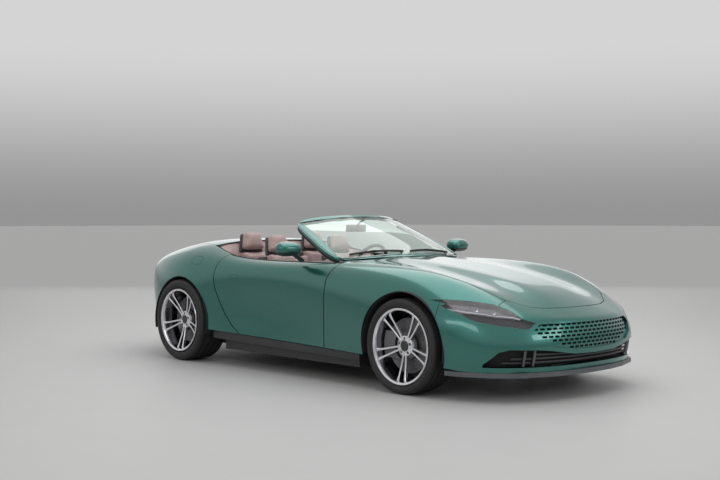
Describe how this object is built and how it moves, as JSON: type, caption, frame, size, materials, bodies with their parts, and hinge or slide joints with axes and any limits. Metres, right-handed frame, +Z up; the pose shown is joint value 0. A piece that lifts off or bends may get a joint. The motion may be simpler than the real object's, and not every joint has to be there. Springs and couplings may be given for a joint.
{
  "type": "open grand tourer car",
  "caption": "Open grand touring car with the roof down: long bonnet, hinged doors, bonnet, deck cover and boot lid, steered front wheels and a hollow cabin.",
  "frame": {"origin": "on the ground under the middle of the car's length and width", "axes": "+X towards the nose, +Y towards the car's left side, +Z up"},
  "size_m": [4.656, 2.19, 1.2647],
  "materials": {
    "body_paint": "glossy metallic",
    "black_trim": "satin",
    "lamp_dark": "glossy",
    "lamp_red": "glossy",
    "screen_glass": "clear",
    "seat_leather": "satin",
    "dark_leather": "satin",
    "boot_lining": "matt",
    "steel_dark": "satin",
    "cast_metal": "rough",
    "rim_metal": "polished",
    "exhaust_metal": "polished",
    "tyre_rubber": "matt"
  },
  "bodies": {
    "root": {"boot_tub": "boot_lining", "cabin_trim": "dark_leather", "centre_console": "dark_leather", "dashboard": "dark_leather", "exhaust": "exhaust_metal", "firewall": "steel_dark", "floor_pan": "steel_dark", "front_bumper": "body_paint", "front_seat_left": "seat_leather", "front_seat_right": "seat_leather", "front_splitter": "black_trim", "front_wing_left": "body_paint", "front_wing_right": "body_paint", "grille": "body_paint", "headlamps": "lamp_dark", "powertrain": "cast_metal", "rear_bumper": "body_paint", "rear_diffuser": "black_trim", "rear_quarter_left": "body_paint", "rear_quarter_right": "body_paint", "rear_seat": "seat_leather", "sills": "black_trim", "suspension": "cast_metal", "tail_lamps": "lamp_red", "wheel_liners": "black_trim", "windscreen": "screen_glass", "windscreen_frame": "body_paint"},
    "door_left": {"door_left": "body_paint", "door_mirror_left": "body_paint"},
    "steer_left": {"front_knuckle_left": "cast_metal"},
    "wheel_front_left": {"front_rim_left": "rim_metal", "front_tyre_left": "tyre_rubber"},
    "wheel_rear_left": {"rear_rim_left": "rim_metal", "rear_tyre_left": "tyre_rubber"},
    "door_right": {"door_right": "body_paint", "door_mirror_right": "body_paint"},
    "steer_right": {"front_knuckle_right": "cast_metal"},
    "wheel_front_right": {"front_rim_right": "rim_metal", "front_tyre_right": "tyre_rubber"},
    "wheel_rear_right": {"rear_rim_right": "rim_metal", "rear_tyre_right": "tyre_rubber"},
    "bonnet": {"bonnet": "body_paint"},
    "boot_lid": {"boot_lid": "body_paint"},
    "tonneau_cover": {"tonneau_cover": "body_paint"},
    "steering_wheel": {"steering_wheel": "dark_leather"}
  },
  "joints": [
    {"name": "door_left_hinge", "type": "hinge", "parent": "root", "child": "door_left", "pos_m": [0.605, 0.882, 0.56], "axis": [0, 0, -1], "range_deg": [0, 66]},
    {"name": "door_right_hinge", "type": "hinge", "parent": "root", "child": "door_right", "pos_m": [0.605, -0.882, 0.56], "axis": [0, 0, 1], "range_deg": [0, 66]},
    {"name": "bonnet_hinge", "type": "hinge", "parent": "root", "child": "bonnet", "pos_m": [0.55, 0, 0.868], "axis": [0, -1, 0], "range_deg": [0, 50]},
    {"name": "tonneau_hinge", "type": "hinge", "parent": "root", "child": "tonneau_cover", "pos_m": [-1.5496, 0, 1.0328], "axis": [0, -1, 0], "range_deg": [0, 60]},
    {"name": "boot_hinge", "type": "hinge", "parent": "root", "child": "boot_lid", "pos_m": [-1.5564, 0, 1.0328], "axis": [0, 1, 0], "range_deg": [0, 65]},
    {"name": "steer_left", "type": "hinge", "parent": "root", "child": "steer_left", "pos_m": [1.34, 0.78, 0.337], "axis": [0, 0, 1], "range_deg": [-30, 30]},
    {"name": "steer_right", "type": "hinge", "parent": "root", "child": "steer_right", "pos_m": [1.34, -0.78, 0.337], "axis": [0, 0, 1], "range_deg": [-30, 30]},
    {"name": "front_wheel_left_spin", "type": "hinge", "parent": "steer_left", "child": "wheel_front_left", "pos_m": [1.34, 0.826, 0.337], "axis": [0, 1, 0], "continuous": true},
    {"name": "front_wheel_right_spin", "type": "hinge", "parent": "steer_right", "child": "wheel_front_right", "pos_m": [1.34, -0.826, 0.337], "axis": [0, 1, 0], "continuous": true},
    {"name": "rear_wheel_left_spin", "type": "hinge", "parent": "root", "child": "wheel_rear_left", "pos_m": [-1.33, 0.8395, 0.351], "axis": [0, 1, 0], "continuous": true},
    {"name": "rear_wheel_right_spin", "type": "hinge", "parent": "root", "child": "wheel_rear_right", "pos_m": [-1.33, -0.8395, 0.351], "axis": [0, 1, 0], "continuous": true},
    {"name": "steering_wheel_turn", "type": "hinge", "parent": "root", "child": "steering_wheel", "pos_m": [-0.315, 0.37, 0.83], "axis": [-0.9135, 0, 0.4067], "range_deg": [-420, 420]}
  ],
  "couplings": [
    {"joint": "steer_right", "follows": "steer_left", "ratio": 1},
    {"joint": "steering_wheel_turn", "follows": "steer_left", "ratio": 14}
  ]
}
